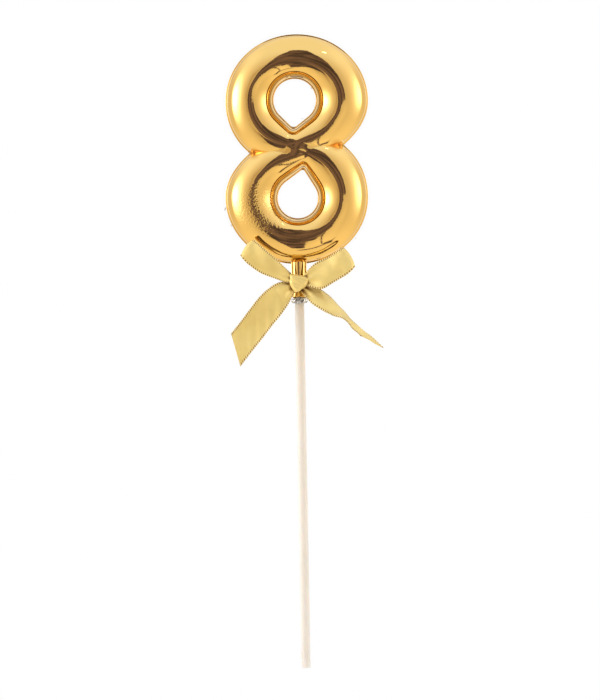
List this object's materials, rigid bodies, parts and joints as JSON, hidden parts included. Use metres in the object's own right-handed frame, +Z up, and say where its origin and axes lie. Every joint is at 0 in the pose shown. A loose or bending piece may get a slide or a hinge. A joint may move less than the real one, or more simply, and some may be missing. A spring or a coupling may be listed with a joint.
{
  "type": "number cake pick",
  "caption": "Gold metallised number 8 in two moulded half shells on an off-white lollipop stick, tied at the neck with a satin ribbon bow.",
  "frame": {"origin": "centre of the stick's lower end", "axes": "+Z up the stick, -Y is the front of the number, +X to the right seen from the front"},
  "size_m": [0.0597, 0.0238, 0.2418],
  "materials": {
    "gold_film": "vacuum-metallised gold, mirror gloss",
    "clear_film": "clear, glossy, uncoated",
    "satin_ribbon": "single-faced satin ribbon with beaded selvedges",
    "stick_plastic": "smooth off-white"
  },
  "bodies": {
    "stick": {"stick": "stick_plastic"},
    "figure": {"front_shell": "gold_film", "back_shell": "gold_film", "outer_seam": "clear_film", "upper_eye_seam": "clear_film", "lower_eye_seam": "clear_film", "mouth_collar": "clear_film"},
    "bow": {"neck_band": "satin_ribbon", "knot": "satin_ribbon"},
    "left_tail": {"left_tail": "satin_ribbon"},
    "right_tail": {"right_tail": "satin_ribbon"},
    "left_loop": {"left_loop": "satin_ribbon"},
    "right_loop": {"right_loop": "satin_ribbon"}
  },
  "joints": [
    {"name": "figure_pull", "type": "slide", "parent": "stick", "child": "figure", "axis": [0, 0, 1], "range_m": [0, 0.0115]},
    {"name": "bow_turn", "type": "hinge", "parent": "figure", "child": "bow", "pos_m": [0, 0, 0.146], "axis": [0, 0, 1], "range_deg": [-6, 6]},
    {"name": "left_tail_sway", "type": "hinge", "parent": "bow", "child": "left_tail", "pos_m": [-0.00305, -0.00375, 0.14445], "axis": [-0.3534, 0, 0.9355], "range_deg": [-20, 25], "stiffness_Nm_per_rad": 0.001},
    {"name": "right_tail_sway", "type": "hinge", "parent": "bow", "child": "right_tail", "pos_m": [0.0019, -0.00375, 0.14365], "axis": [-0.7182, 0, -0.6958], "range_deg": [-20, 25], "stiffness_Nm_per_rad": 0.001},
    {"name": "left_loop_sway", "type": "hinge", "parent": "bow", "child": "left_loop", "pos_m": [-0.00345, -0.0053, 0.1485], "axis": [0.2137, 0, 0.9769], "range_deg": [0, 25], "stiffness_Nm_per_rad": 0.001},
    {"name": "right_loop_sway", "type": "hinge", "parent": "bow", "child": "right_loop", "pos_m": [0.00345, -0.0053, 0.1479], "axis": [0.2873, 0, -0.9578], "range_deg": [0, 25], "stiffness_Nm_per_rad": 0.001}
  ]
}
